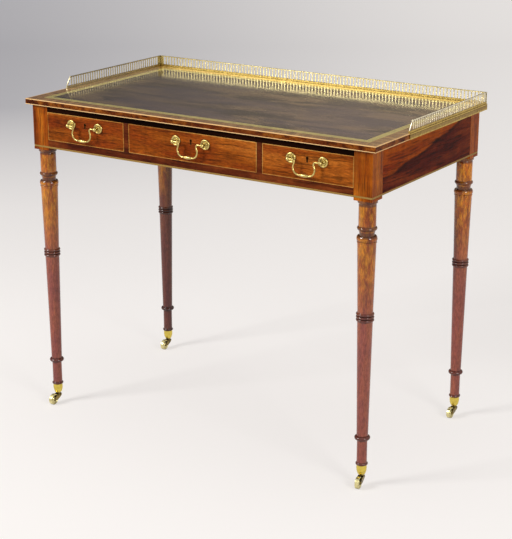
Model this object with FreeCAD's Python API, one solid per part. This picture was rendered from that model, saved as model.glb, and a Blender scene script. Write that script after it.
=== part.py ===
import FreeCAD, Part
import math
import os

# Writing table. Millimetres, +Z up. The drawers face -Y, and +X is to the right of someone who faces them.
# The origin is on the floor, under the middle of the table's overall box.

# Table
top_width = 895.0
top_depth = 508.0
writing_height = 740.0
top_thickness = 13.0
top_overhang = 11.0
frieze_height = 97.5
post_side = 42.0
post_drop = 6.0
overrun = 2.0

# Writing surface and the lines let into the edges
top_border = 29.0
leather_thickness = 1.2
edge_line = 1.8
base_line_height = 4.0
base_line_depth = 1.2

# Frieze
top_rail_height = 14.0
bottom_rail_height = 18.5
rail_depth = 45.0
apron_thickness = 20.0
tenon_length = 14.0
tenon_thickness = 10.0
tenon_shoulder = 6.0
rail_tenon_shoulder = 3.0
side_drawer_opening = 216.0
divider_width = 12.5

# Drawer bearers
runner_width = 36.0
guide_height = 25.0
stop_width = 30.0
stop_thickness = 8.0
stop_height = 5.0
kicker_width = 36.0

# Drawers
drawer_side_gap = 0.6
drawer_top_gap = 0.6
drawer_floor_gap = 0.3
drawer_front_thickness = 20.0
drawer_side_thickness = 9.0
drawer_back_thickness = 8.0
drawer_side_height = 52.5
drawer_bottom_thickness = 5.0
drawer_bottom_lift = 7.0
drawer_groove = 4.0
drawer_rear_room = 16.0
string_width = 1.6
string_depth = 2.0

# Handles
handle_spacing = 75.5
handle_rise = 11.0
rosette_radius = 11.4
rosette_rim_width = 4.6
rosette_rim_height = 3.2
rosette_edge = 1.0
rosette_floor = 1.4
rosette_boss_radius = 4.2
rosette_boss_height = 2.8
handle_reach = 13.0
handle_head_radius = 4.6
handle_stem_radius = 2.8
handle_shank_radius = 2.0
handle_nut_radius = 5.0
handle_nut_thickness = 3.0
bail_radius = 1.95
bail_pin_gap = 0.06
bail_pin_length = 8.2
bail_half_width = 22.8
bail_shoulder = 4.5
bail_neck_radius = 12.0
bail_neck_turn = 26.0
bail_drop = 30.2
grip_radius = 3.6

# Locks
lock_width = 50.0
lock_height = 38.0
lock_thickness = 9.0
bolt_width = 20.0
bolt_thickness = 4.0
bolt_length = 22.0
bolt_travel = 6.0
bolt_gap = 0.3
mortise_gap = 1.5
keyhole_radius = 2.5
keyhole_slot = 2.2
keyhole_height = 11.0
keyhole_line = 0.9
keyhole_line_depth = 3.0
keyhole_drop = 20.5

# Turned legs. The upper rings hang below the frieze, and the low rings stand above the floor.
collar_radius = 20.4
collar_height = 5.5
collar_cove = 4.0
neck_radius = 18.0
upper_ring_drop = 64.5
upper_ring_radius = 20.6
upper_ring_height = 8.0
waist_radius = 15.8
waist_hollow = 1.0
torus_drop = 86.0
torus_radius = 21.4
torus_height = 11.0
fillet_radius = 20.4
fillet_height = 3.0
shaft_top_radius = 19.6
shaft_middle_radius = 16.3
band_radius = 18.9
band_bead_height = 6.3
beads_per_band = 3
band_height_share = 0.6165
shaft_lower_radius = 12.2
low_ring_z = 110.0
low_ring_radius = 16.8
low_ring_height = 9.0
ankle_top_radius = 11.0
ankle_radius = 11.0
foot_ring_z = 51.0
foot_ring_radius = 13.2
foot_ring_height = 6.0
dowel_radius = 8.0
dowel_length = 11.0

# Casters
cup_top_radius = 10.9
cup_bottom_radius = 8.2
cup_height = 20.5
cup_lip = 1.2
cup_bulge = 1.3
cup_floor = 5.0
swivel_radius = 2.5
swivel_gap = 0.05
swivel_head_radius = 4.2
swivel_head_height = 1.8
swivel_play = 0.2
fork_neck_radius = 5.8
fork_neck_height = 4.6
wheel_radius = 13.0
wheel_width = 8.0
wheel_trail = 18.0
wheel_hub_radius = 4.5
wheel_dish = 1.4
wheel_rim_width = 2.6
wheel_edge_round = 1.0
wheel_play = 0.4
swivel_rest = {"front_left": 1.0, "front_right": 9.0, "rear_left": 3.0, "rear_right": -2.0}
axle_radius = 1.6
axle_gap = 0.06
axle_head_radius = 2.6
axle_head_height = 0.8
arm_thickness = 2.0
arm_boss_radius = 3.8
arm_root_depth = 10.0
arm_root_height = 4.0
arm_bow = 2.4

# Gallery
gallery_height = 26.0
gallery_curb_height = 5.0
gallery_curb_thickness = 3.0
gallery_sheet_thickness = 1.0
gallery_rail_height = 2.2
gallery_rail_thickness = 2.6
gallery_pitch = 8.6
gallery_bar = 2.5
gallery_corner = 11.0
gallery_slope = 13.0
gallery_side_length = 366.0
strip_thickness = 1.2
strip_groove = 0.4
strip_groove_height = 1.2
strip_groove_drop = 2.6
pin_radius = 1.7
pin_head_height = 0.6
pin_length = 7.0
side_pins = 4
rear_pins = 9

# Screws that hold the top
screw_radius = 2.0
screw_head_radius = 4.0
screw_head_height = 2.5
screw_bite = 6.0
screws_per_kicker = 2

# Heights
slab_bottom = writing_height - top_thickness
frieze_bottom = slab_bottom - frieze_height
post_bottom = frieze_bottom - post_drop
opening_top = slab_bottom - top_rail_height
opening_bottom = frieze_bottom + bottom_rail_height
gallery_top = writing_height + gallery_height

# Plan of the table. The handles reach past the front edge, and the brass strip past the back edge.
front_reach = handle_reach + handle_head_radius - top_overhang
back_reach = strip_thickness + pin_head_height
overall_depth = front_reach + top_depth + back_reach
back_edge = overall_depth / 2 - back_reach
front_edge = back_edge - top_depth
right_edge = top_width / 2
left_edge = -right_edge
frieze_front = front_edge + top_overhang
frieze_back = back_edge - top_overhang
frieze_right = right_edge - top_overhang
post_inner_x = frieze_right - post_side
post_front_y = frieze_front + post_side
post_back_y = frieze_back - post_side
apron_inner_x = frieze_right - apron_thickness
back_apron_front = frieze_back - apron_thickness
leg_x = frieze_right - post_side / 2
leg_front_y = frieze_front + post_side / 2
leg_back_y = frieze_back - post_side / 2
rail_back = frieze_front + rail_depth
divider_x = post_inner_x - side_drawer_opening - divider_width / 2
centre_drawer_opening = 2 * divider_x - divider_width
side_drawer_x = post_inner_x - side_drawer_opening / 2

# Drawer and handle places shared by several pieces
drawer_floor = opening_bottom + drawer_floor_gap
drawer_top = opening_top - drawer_top_gap
drawer_back_y = back_apron_front - drawer_rear_room
drawer_inner_front = frieze_front + drawer_front_thickness
handle_z = (opening_bottom + opening_top) / 2 + handle_rise
handle_y = frieze_front - handle_reach
lock_front = drawer_inner_front - lock_thickness
bolt_y = lock_front + lock_thickness / 2
keyhole_z = drawer_top - keyhole_drop

# Leg ring heights
upper_ring_z = frieze_bottom - upper_ring_drop
torus_z = frieze_bottom - torus_drop
band_z = low_ring_z + band_height_share * (torus_z - low_ring_z)

# Caster heights
cup_top = foot_ring_z - foot_ring_height / 2
cup_bottom = cup_top - cup_height
fork_neck_top = cup_bottom - swivel_play
fork_neck_bottom = fork_neck_top - fork_neck_height
cup_inner_floor = cup_bottom + cup_floor
swivel_top = cup_inner_floor + swivel_play + swivel_head_height

sides = {"left": -1, "right": 1}
drawers = {
    "left": (-side_drawer_x, side_drawer_opening),
    "centre": (0, centre_drawer_opening),
    "right": (side_drawer_x, side_drawer_opening),
}
corners = {
    "front_left": (-leg_x, leg_front_y),
    "front_right": (leg_x, leg_front_y),
    "rear_left": (-leg_x, leg_back_y),
    "rear_right": (leg_x, leg_back_y),
}


# Shared shapes

def vec(x, y, z):
    return FreeCAD.Vector(x, y, z)


X_AXIS = vec(1, 0, 0)
Y_AXIS = vec(0, 1, 0)
Z_AXIS = vec(0, 0, 1)


def box(x_range, y_range, z_range):
    """Box between two places along each axis."""
    low = vec(min(x_range), min(y_range), min(z_range))
    high = vec(max(x_range), max(y_range), max(z_range))
    size = high - low
    return Part.makeBox(size.x, size.y, size.z, low)


def around(middle, width):
    """Range of a width about a middle."""
    return (middle - width / 2, middle + width / 2)


def rod(radius, length, start, axis):
    """Cylinder from a start point along an axis."""
    return Part.makeCylinder(radius, length, start, axis)


def ring_box(inset, width, z_range):
    """Rectangular frame, its outside inset from the edge of the top, width wide all round."""
    outer = box((left_edge + inset, right_edge - inset), (front_edge + inset, back_edge - inset), z_range)
    inside = inset + width
    low, high = z_range
    inner = box(
        (left_edge + inside, right_edge - inside),
        (front_edge + inside, back_edge - inside),
        (low - overrun, high + overrun),
    )
    return outer.cut(inner)


def outline(points):
    """Closed wire from (place, bulge point) pairs. With no bulge point, the edge is straight."""
    edges = []
    start = points[-1][0]
    for place, bulge in points:
        if bulge is None:
            edges.append(Part.LineSegment(start, place).toShape())
        else:
            edges.append(Part.Arc(start, bulge, place).toShape())
        start = place
    return Part.Wire(edges)


def pierced(wires):
    """Face inside the first wire, with a hole inside each of the others."""
    return Part.makeFace(wires, "Part::FaceMakerBullseye")


def turned(points, origin, axis):
    """Solid of revolution. Points are (radius, height, bulge), where a bulge of None is a straight edge."""
    places = []
    last_radius, last_height, _ = points[-1]
    for radius, height, bulge in points:
        place = vec(radius, 0, height)
        through = None
        if bulge is not None:
            chord = vec(radius - last_radius, 0, height - last_height)
            normal = vec(-chord.z, 0, chord.x).normalize()
            through = (vec(last_radius, 0, last_height) + place) * 0.5 + normal * bulge
        places.append((place, through))
        last_radius, last_height = radius, height
    solid = Part.Face(outline(places)).revolve(vec(0, 0, 0), Z_AXIS, 360)
    solid.Placement = FreeCAD.Placement(origin, FreeCAD.Rotation(Z_AXIS, axis))
    return solid


def joined(solids):
    """One fused solid."""
    first, *rest = solids
    return first.fuse(rest).removeSplitter()


def cut_all(solid, tools):
    """Solid with every tool cut away."""
    return solid.cut(Part.makeCompound(tools))


def keyhole(x, grow, y_range):
    """Keyhole-shaped prism: a round hole over a slot."""
    low, high = min(y_range), max(y_range)
    eye_z = keyhole_z + keyhole_height / 2 - keyhole_radius
    eye = rod(keyhole_radius + grow, high - low, vec(x, low, eye_z), Y_AXIS)
    slot_bottom = keyhole_z - keyhole_height / 2 - grow
    slot = box(around(x, keyhole_slot + 2 * grow), (low, high), (slot_bottom, eye_z))
    return joined([eye, slot])


# Top

def leather_inset():
    low = writing_height - leather_thickness
    return box(
        (left_edge + top_border, right_edge - top_border),
        (front_edge + top_border, back_edge - top_border),
        (low, writing_height),
    )


def top_edge_lines():
    upper = ring_box(0, edge_line, (writing_height - edge_line, writing_height))
    lower = ring_box(0, edge_line, (slab_bottom, slab_bottom + edge_line))
    return [upper, lower]


def top_board():
    slab = box((left_edge, right_edge), (front_edge, back_edge), (slab_bottom, writing_height))
    tools = [leather_inset()]
    tools += top_edge_lines()
    tools += gallery_pins()
    tools += top_screws()
    return cut_all(slab, tools)


# Gallery

def slot_wires(start, end, low, high, place):
    """Rectangular slots at the bar pitch between start and end; place turns (along, height) into a point."""
    count = round((end - start) / gallery_pitch)
    pitch = (end - start) / count
    wires = []
    for index in range(count):
        left = start + index * pitch + gallery_bar / 2
        right = start + (index + 1) * pitch - gallery_bar / 2
        corner_points = [(left, low), (right, low), (right, high), (left, high)]
        wires.append(outline([(place(along, height), None) for along, height in corner_points]))
    return wires


def gallery_rear():
    """Pierced sheet with a solid strip at each corner, a curb below and a rail on top."""
    low = writing_height + gallery_curb_height
    high = gallery_top - gallery_rail_height
    middle = back_edge - gallery_curb_thickness / 2
    sheet_y = middle - gallery_sheet_thickness / 2

    def place(along, height):
        return vec(along, sheet_y, height)

    edge_points = [(left_edge, writing_height), (right_edge, writing_height)]
    edge_points += [(right_edge, gallery_top), (left_edge, gallery_top)]
    outer = outline([(place(along, height), None) for along, height in edge_points])
    slots = slot_wires(left_edge + gallery_corner, right_edge - gallery_corner, low, high, place)
    sheet = pierced([outer] + slots).extrude(Y_AXIS * gallery_sheet_thickness)
    curb = box((left_edge, right_edge), around(middle, gallery_curb_thickness), (writing_height, low))
    rail = box((left_edge, right_edge), around(middle, gallery_rail_thickness), (high, gallery_top))
    return joined([sheet, curb, rail])


def gallery_side(side):
    """Side sheet: its front end is a bar that slopes down and forward."""
    low = writing_height + gallery_curb_height
    high = gallery_top - gallery_rail_height
    rear = back_edge - gallery_curb_thickness
    front = back_edge - gallery_side_length
    top_front = front + gallery_slope
    middle = side * (right_edge - gallery_curb_thickness / 2)
    sheet_x = middle - gallery_sheet_thickness / 2

    def place(along, height):
        return vec(sheet_x, along, height)

    edge_points = [(front, writing_height), (rear, writing_height), (rear, gallery_top)]
    edge_points += [(top_front, gallery_top), (front, low)]
    outer = outline([(place(along, height), None) for along, height in edge_points])
    first_slot = top_front + 2 * gallery_bar
    slots = slot_wires(first_slot, rear - gallery_corner + gallery_bar / 2, low, high, place)
    rise = gallery_top - low
    end_bar = gallery_bar * math.hypot(gallery_slope, rise) / rise
    wedge_front = front + end_bar
    wedge_rear = first_slot - gallery_bar / 2
    wedge_points = [
        (wedge_front, low),
        (wedge_rear, low),
        (wedge_rear, high),
        (wedge_front + gallery_slope * (high - low) / rise, high),
    ]
    wedge = outline([(place(along, height), None) for along, height in wedge_points])
    sheet = pierced([outer, wedge] + slots).extrude(X_AXIS * gallery_sheet_thickness)
    curb = box(around(middle, gallery_curb_thickness), (front, rear), (writing_height, low))
    rail = box(around(middle, gallery_rail_thickness), (top_front, rear), (high, gallery_top))
    return joined([sheet, curb, rail])


def gallery_edge_strip():
    """Brass strip over the edge of the top below the gallery, with a fine groove, round three sides."""
    z_range = (slab_bottom, writing_height)
    front = back_edge - gallery_side_length
    rear = back_edge + strip_thickness
    sides_x = (left_edge - strip_thickness, right_edge + strip_thickness)
    outer = box(sides_x, (front, rear), z_range)
    inner = box((left_edge, right_edge), (front - overrun, back_edge), (slab_bottom - overrun, gallery_top))
    strip = outer.cut(inner)
    groove_top = writing_height - strip_groove_drop
    groove_range = (groove_top - strip_groove_height, groove_top)
    wide = box(around(0, 2 * sides_x[1] + overrun), (front - overrun, rear + overrun), groove_range)
    kept = box(
        (sides_x[0] + strip_groove, sides_x[1] - strip_groove),
        (front - overrun, rear - strip_groove),
        groove_range,
    )
    return cut_all(strip, [wide.cut(kept)] + gallery_pins())


def pin(start, axis):
    """Round-headed brass pin, its head on the strip and its shank in the edge of the top."""
    head = rod(pin_radius, pin_head_height, start, axis)
    shank = rod(pin_radius / 2, pin_length, start - axis * pin_length, axis)
    return joined([head, shank])


def gallery_pins():
    z = slab_bottom + (top_thickness - strip_groove_drop - strip_groove_height) / 2
    front = back_edge - gallery_side_length
    pins = []
    for side in sides.values():
        for index in range(side_pins):
            y = front + gallery_side_length * (index + 0.5) / side_pins
            start = vec(side * (right_edge + strip_thickness), y, z)
            pins.append(pin(start, X_AXIS * side))
    for index in range(rear_pins):
        x = left_edge + top_width * (index + 0.5) / rear_pins
        pins.append(pin(vec(x, back_edge + strip_thickness, z), Y_AXIS))
    return pins


# Legs

def beads(z, radius, height, root, count=1):
    """Outline points of round beads stacked about a height, each from root to root."""
    top = z + count * height / 2
    points = [(root, top, None)]
    for index in range(count):
        points.append((root, top - (index + 1) * height, radius - root))
    return points


def leg_outline():
    """Turned outline from the underside of the post down to the dowel in the caster."""
    inside_post = post_bottom + tenon_shoulder
    collar_bottom = post_bottom - collar_height
    points = [(0, inside_post, None), (collar_radius, inside_post, None)]
    points += [(collar_radius, collar_bottom, None)]
    points += [(neck_radius, collar_bottom - collar_cove, -(collar_radius - neck_radius) / 2)]
    points += beads(upper_ring_z, upper_ring_radius, upper_ring_height, neck_radius)
    points += [(waist_radius, torus_z + torus_height / 2, -waist_hollow)]
    points += beads(torus_z, torus_radius, torus_height, shaft_top_radius)
    fillet_top = torus_z - torus_height / 2
    points += [(fillet_radius, fillet_top, None), (fillet_radius, fillet_top - fillet_height, None)]
    points += [(shaft_top_radius, fillet_top - fillet_height, None)]
    points += beads(band_z, band_radius, band_bead_height, shaft_middle_radius, beads_per_band)
    points += beads(low_ring_z, low_ring_radius, low_ring_height, shaft_lower_radius)
    points += [(ankle_top_radius, low_ring_z - low_ring_height / 2, None)]
    points += beads(foot_ring_z, foot_ring_radius, foot_ring_height, ankle_radius)
    points += [(dowel_radius, cup_top, None), (dowel_radius, cup_top - dowel_length, None)]
    points += [(0, cup_top - dowel_length, None)]
    return points


def leg(name):
    """Post that ends a little below the rails, and turned leg, from one mortised blank."""
    x, y = corners[name]
    post = box(around(x, post_side), around(y, post_side), (post_bottom, slab_bottom))
    turning = turned(leg_outline(), vec(x, y, 0), Z_AXIS)
    blank = joined([post, turning])
    tools = [apron_side(side) for side in sides]
    tools += [apron_back(), front_top_rail(), front_bottom_rail(), base_line_ring()]
    return cut_all(blank, tools)


# Frieze

def tenon(x_range, y_range):
    """Tenon that enters a post, its height set in from the frieze's edges."""
    return box(x_range, y_range, (frieze_bottom + tenon_shoulder, slab_bottom - tenon_shoulder))


def base_line_ring():
    return ring_box(top_overhang, base_line_depth, (frieze_bottom, frieze_bottom + base_line_height))


def apron_side(side):
    direction = sides[side]
    x_range = (direction * apron_inner_x, direction * frieze_right)
    middle = direction * (frieze_right - apron_thickness / 2)
    board = box(x_range, (post_front_y, post_back_y), (frieze_bottom, slab_bottom))
    ends = (post_front_y - tenon_length, post_back_y + tenon_length)
    apron = joined([board, tenon(around(middle, tenon_thickness), ends)])
    return apron.cut(base_line_ring())


def apron_back():
    board = box((-post_inner_x, post_inner_x), (back_apron_front, frieze_back), (frieze_bottom, slab_bottom))
    middle = frieze_back - apron_thickness / 2
    reach = post_inner_x + tenon_length
    apron = joined([board, tenon((-reach, reach), around(middle, tenon_thickness))])
    return apron.cut(base_line_ring())


def front_rail(z_range):
    """Front rail with a stub tenon at each end."""
    board = box((-post_inner_x, post_inner_x), (frieze_front, rail_back), z_range)
    reach = post_inner_x + tenon_length
    low, high = z_range
    stub_z = (low + rail_tenon_shoulder, high - rail_tenon_shoulder)
    stub = box((-reach, reach), around(frieze_front + post_side / 2, tenon_thickness), stub_z)
    return joined([board, stub])


def front_top_rail():
    """Top rail, mortised below for the lock bolts."""
    rail = front_rail((opening_top, slab_bottom))
    mortises = []
    for x, _ in drawers.values():
        depth = bolt_travel + mortise_gap
        mortises.append(
            box(
                around(x, bolt_width + 2 * mortise_gap),
                around(bolt_y, bolt_thickness + 2 * mortise_gap),
                (opening_top - overrun, opening_top + depth),
            )
        )
    return cut_all(rail, mortises)


def front_bottom_rail():
    rail = front_rail((frieze_bottom, opening_bottom))
    return rail.cut(base_line_ring())


def drawer_dividers():
    z_range = (opening_bottom, opening_top)
    return [
        box(around(side * divider_x, divider_width), (frieze_front, rail_back), z_range)
        for side in sides.values()
    ]


def bearer_places(width):
    """X ranges of the long bearers: one against each side apron, and one behind each divider."""
    places = []
    for side in sides.values():
        inner = post_inner_x - width / 2
        places.append((side * inner, side * apron_inner_x))
        places.append(around(side * divider_x, width))
    return places


def clear_of_posts(solid):
    """Bearers beside the side aprons are notched round the posts."""
    posts = [
        box(around(x, post_side), around(y, post_side), (frieze_bottom, slab_bottom))
        for x, y in corners.values()
    ]
    return cut_all(solid, posts)


def drawer_runners():
    y_range = (rail_back, back_apron_front)
    z_range = (frieze_bottom, opening_bottom)
    return [clear_of_posts(box(x_range, y_range, z_range)) for x_range in bearer_places(runner_width)]


def drawer_guides():
    """Strips on the runners that keep the drawers straight."""
    z_range = (opening_bottom, opening_bottom + guide_height)
    y_range = (rail_back, back_apron_front)
    guides = []
    for side in sides.values():
        beside_apron = box((side * post_inner_x, side * apron_inner_x), y_range, z_range)
        guides.append(clear_of_posts(beside_apron))
        guides.append(box(around(side * divider_x, divider_width), y_range, z_range))
    return guides


def plain_kickers():
    y_range = (rail_back, back_apron_front)
    z_range = (opening_top, slab_bottom)
    return [clear_of_posts(box(x_range, y_range, z_range)) for x_range in bearer_places(kicker_width)]


def drawer_kickers():
    """Strips under the top that stop a pulled drawer from tipping, bored for the screws."""
    screws = top_screws()
    return [cut_all(kicker, screws) for kicker in plain_kickers()]


def top_screws():
    """Screws up through the kickers into the top."""
    screws = []
    for low_x, high_x in bearer_places(kicker_width):
        x = (low_x + high_x) / 2
        for index in range(screws_per_kicker):
            share = (index + 0.5) / screws_per_kicker
            y = rail_back + (back_apron_front - rail_back) * share
            foot = vec(x, y, opening_top)
            head = rod(screw_head_radius, screw_head_height, foot, Z_AXIS)
            shank = rod(screw_radius, top_rail_height + screw_bite, foot, Z_AXIS)
            screws.append(joined([head, shank]))
    return screws


def drawer_stops():
    """Blocks on the bottom rail that meet the back of each drawer front."""
    stops = []
    for x, opening in drawers.values():
        for side in sides.values():
            middle = x + side * opening / 4
            y_range = (drawer_inner_front, drawer_inner_front + stop_thickness)
            z_range = (opening_bottom, opening_bottom + stop_height)
            stops.append(box(around(middle, stop_width), y_range, z_range))
    return stops


# Drawers

def drawer_stringing(name):
    """Pale line let into the four edges of a drawer front."""
    x, opening = drawers[name]
    width = opening - 2 * drawer_side_gap
    y_range = (frieze_front, frieze_front + string_depth)
    outer = box(around(x, width), y_range, (drawer_floor, drawer_top))
    inner = box(
        around(x, width - 2 * string_width),
        (frieze_front - overrun, frieze_front + string_depth + overrun),
        (drawer_floor + string_width, drawer_top - string_width),
    )
    return outer.cut(inner)


def drawer_bottom(name):
    """Bottom board, in grooves in the front and the sides, under the back."""
    x, opening = drawers[name]
    inner = opening - 2 * drawer_side_gap - 2 * drawer_side_thickness
    low = drawer_floor + drawer_bottom_lift
    return box(
        around(x, inner + 2 * drawer_groove),
        (drawer_inner_front - drawer_groove, drawer_back_y),
        (low, low + drawer_bottom_thickness),
    )


def drawer_sides(name):
    x, opening = drawers[name]
    outer = opening / 2 - drawer_side_gap
    boards = []
    for side in sides.values():
        x_range = (x + side * (outer - drawer_side_thickness), x + side * outer)
        z_range = (drawer_floor, drawer_floor + drawer_side_height)
        board = box(x_range, (drawer_inner_front, drawer_back_y), z_range)
        boards.append(board.cut(drawer_bottom(name)))
    return boards


def drawer_back(name):
    x, opening = drawers[name]
    inner = opening - 2 * drawer_side_gap - 2 * drawer_side_thickness
    low = drawer_floor + drawer_bottom_lift + drawer_bottom_thickness
    return box(
        around(x, inner),
        (drawer_back_y - drawer_back_thickness, drawer_back_y),
        (low, drawer_floor + drawer_side_height),
    )


def lock_case(name):
    """Lock let into the back of the drawer front, open at the top for its bolt."""
    x, _ = drawers[name]
    y_range = (lock_front, drawer_inner_front)
    case = box(around(x, lock_width), y_range, (drawer_top - lock_height, drawer_top))
    pocket = box(
        around(x, bolt_width + 2 * bolt_gap),
        around(bolt_y, bolt_thickness + 2 * bolt_gap),
        (drawer_top - bolt_length, drawer_top + overrun),
    )
    return cut_all(case, [pocket])


def keyhole_line_ring(name):
    """Thin brass line round the keyhole."""
    x, _ = drawers[name]
    outer = keyhole(x, keyhole_line, (frieze_front, frieze_front + keyhole_line_depth))
    inner = keyhole(x, 0, (frieze_front - overrun, frieze_front + keyhole_line_depth + overrun))
    return outer.cut(inner)


def lock_bolt(name):
    """Bolt that the key raises into the top rail."""
    x, _ = drawers[name]
    return box(
        around(x, bolt_width),
        around(bolt_y, bolt_thickness),
        (drawer_top - bolt_length + bolt_gap, drawer_top),
    )


def handle_places(name):
    x, _ = drawers[name]
    return [vec(x + side * handle_spacing / 2, frieze_front, handle_z) for side in sides.values()]


def drawer_front(name):
    x, opening = drawers[name]
    width = opening - 2 * drawer_side_gap
    board = box(around(x, width), (frieze_front, drawer_inner_front), (drawer_floor, drawer_top))
    lock_recess = box(
        around(x, lock_width), (lock_front, drawer_inner_front), (drawer_top - lock_height, drawer_top)
    )
    tools = [drawer_stringing(name), drawer_bottom(name), lock_recess]
    tools.append(keyhole(x, keyhole_line, (frieze_front - overrun, frieze_front + keyhole_line_depth)))
    tools.append(keyhole(x, 0, (frieze_front, lock_front + overrun)))
    for place in handle_places(name):
        tools.append(rod(handle_shank_radius, drawer_front_thickness, place, Y_AXIS))
    return cut_all(board, tools)


def rosette(place):
    """Round plate with a raised rim and a boss, bored for the post."""
    rim_inner = rosette_radius - rosette_rim_width
    points = [
        (handle_shank_radius, 0, None),
        (rosette_radius, 0, None),
        (rosette_radius, rosette_edge, None),
        (rim_inner, rosette_floor, -(rosette_rim_height - rosette_edge)),
        (rosette_boss_radius, rosette_floor, None),
        (handle_stem_radius, rosette_boss_height, None),
        (handle_shank_radius, rosette_boss_height, None),
    ]
    return turned(points, place, Y_AXIS * -1)


def handle_post(place):
    """Post with a ball head bored for the bail, its shank through the drawer front."""
    stem = rod(handle_stem_radius, handle_reach - rosette_boss_height, place - Y_AXIS * handle_reach, Y_AXIS)
    shank_length = handle_reach + drawer_front_thickness + handle_nut_thickness
    shank = rod(handle_shank_radius, shank_length, place - Y_AXIS * handle_reach, Y_AXIS)
    head_place = vec(place.x, handle_y, place.z)
    head = Part.makeSphere(handle_head_radius, head_place)
    post = joined([head, stem, shank])
    bore_radius = bail_radius + bail_pin_gap
    bore_half = handle_head_radius + overrun
    bore = rod(bore_radius, 2 * bore_half, head_place - X_AXIS * bore_half, X_AXIS)
    return post.cut(bore)


def handle_nut(place):
    nut_place = vec(place.x, drawer_inner_front, place.z)
    nut = rod(handle_nut_radius, handle_nut_thickness, nut_place, Y_AXIS)
    return nut.cut(rod(handle_shank_radius, handle_nut_thickness, nut_place, Y_AXIS))


def handle_mounts(name):
    """Rosettes, posts and nuts of one handle."""
    pieces = []
    for place in handle_places(name):
        pieces += [rosette(place), handle_post(place), handle_nut(place)]
    return pieces


def bail(name):
    """Swan-neck bail: pins in the posts, shoulders that turn down, swelling sides and a thick grip."""
    x, _ = drawers[name]
    turn = math.radians(bail_neck_turn)
    neck_x = bail_half_width + bail_neck_radius * (1 - math.cos(turn))
    neck_z = -bail_shoulder - bail_neck_radius * math.sin(turn)
    belly = (bail_drop + neck_z) / (1 + math.sin(turn))
    belly_x = neck_x - belly * math.cos(turn)
    belly_z = neck_z - belly * math.sin(turn)
    half_shoulder = bail_shoulder * (1 - math.cos(math.pi / 4))
    half_turn = turn / 2
    belly_angle = (turn - math.pi / 2) / 2
    pin_end = handle_spacing / 2 - handle_head_radius + bail_pin_length

    def right(along, height):
        return vec(x + along, handle_y, handle_z + height)

    def left(along, height):
        return vec(x - along, handle_y, handle_z + height)

    def half(place):
        """Half of the bail's line from its pin to the start of the grip."""
        shoulder = bail_half_width + bail_shoulder
        swing = bail_neck_radius * (1 - math.cos(half_turn))
        neck_middle = (bail_half_width + swing, -bail_shoulder - bail_neck_radius * math.sin(half_turn))
        belly_middle = (belly_x + belly * math.cos(belly_angle), belly_z + belly * math.sin(belly_angle))
        return [
            Part.LineSegment(place(pin_end, 0), place(shoulder, 0)).toShape(),
            Part.Arc(
                place(shoulder, 0),
                place(bail_half_width + half_shoulder, -half_shoulder),
                place(bail_half_width, -bail_shoulder),
            ).toShape(),
            Part.Arc(
                place(bail_half_width, -bail_shoulder),
                place(*neck_middle),
                place(neck_x, neck_z),
            ).toShape(),
            Part.Arc(place(neck_x, neck_z), place(*belly_middle), place(belly_x, -bail_drop)).toShape(),
        ]

    middle = Part.LineSegment(right(belly_x, -bail_drop), left(belly_x, -bail_drop)).toShape()
    path = Part.Wire(half(right) + [middle] + [edge.reversed() for edge in reversed(half(left))])
    section = Part.Wire(Part.Circle(right(pin_end, 0), X_AXIS, bail_radius).toShape())
    wire = path.makePipeShell([section], True, False)
    swell = grip_radius - bail_radius
    points = [
        (0, -belly_x, None),
        (bail_radius, -belly_x, None),
        (bail_radius, belly_x, -swell),
        (0, belly_x, None),
    ]
    grip = turned(points, vec(x, handle_y, handle_z - bail_drop), X_AXIS)
    return joined([wire, grip])


# Casters

def caster_cup(name):
    """Tapered brass socket on the foot of a leg, its floor bored for the swivel."""
    x, y = corners[name]
    bore = swivel_radius + swivel_gap
    points = [
        (bore, cup_bottom, None),
        (cup_bottom_radius, cup_bottom, None),
        (cup_top_radius, cup_top - cup_lip, -cup_bulge),
        (cup_top_radius, cup_top, None),
        (dowel_radius, cup_top, None),
        (dowel_radius, cup_top - dowel_length, None),
        (cup_bottom_radius - cup_lip, cup_inner_floor, None),
        (bore, cup_inner_floor, None),
    ]
    return turned(points, vec(x, y, 0), Z_AXIS)


def swivelled(solid, name):
    """Solid turned about the leg's axis to where that caster stands at rest."""
    x, y = corners[name]
    return solid.rotated(vec(x, y, 0), Z_AXIS, swivel_rest[name])


def fork_arm(x, y, x_range):
    """Horn-shaped side of the fork, from its root under the neck down and forward to the axle."""
    low_x, high_x = x_range
    axle_y = y - wheel_trail
    root_back = y + arm_root_depth / 2
    root_front = y - arm_root_depth / 2
    root_bottom = fork_neck_bottom - arm_root_height
    boss_top = wheel_radius + arm_boss_radius
    boss_bottom = wheel_radius - arm_boss_radius

    def place(along, height):
        return vec(low_x, along, height)

    lower_middle = place((root_back + axle_y) / 2, (root_bottom + boss_bottom) / 2 - arm_bow)
    upper_middle = place((root_front + axle_y) / 2, (fork_neck_bottom + boss_top) / 2 + arm_bow / 2)
    points = [
        (place(root_front, fork_neck_bottom), upper_middle),
        (place(root_back, fork_neck_bottom), None),
        (place(root_back, root_bottom), None),
        (place(axle_y, boss_bottom), lower_middle),
        (place(axle_y, boss_top), place(axle_y - arm_boss_radius, wheel_radius)),
    ]
    return Part.Face(outline(points)).extrude(X_AXIS * (high_x - low_x))


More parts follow.
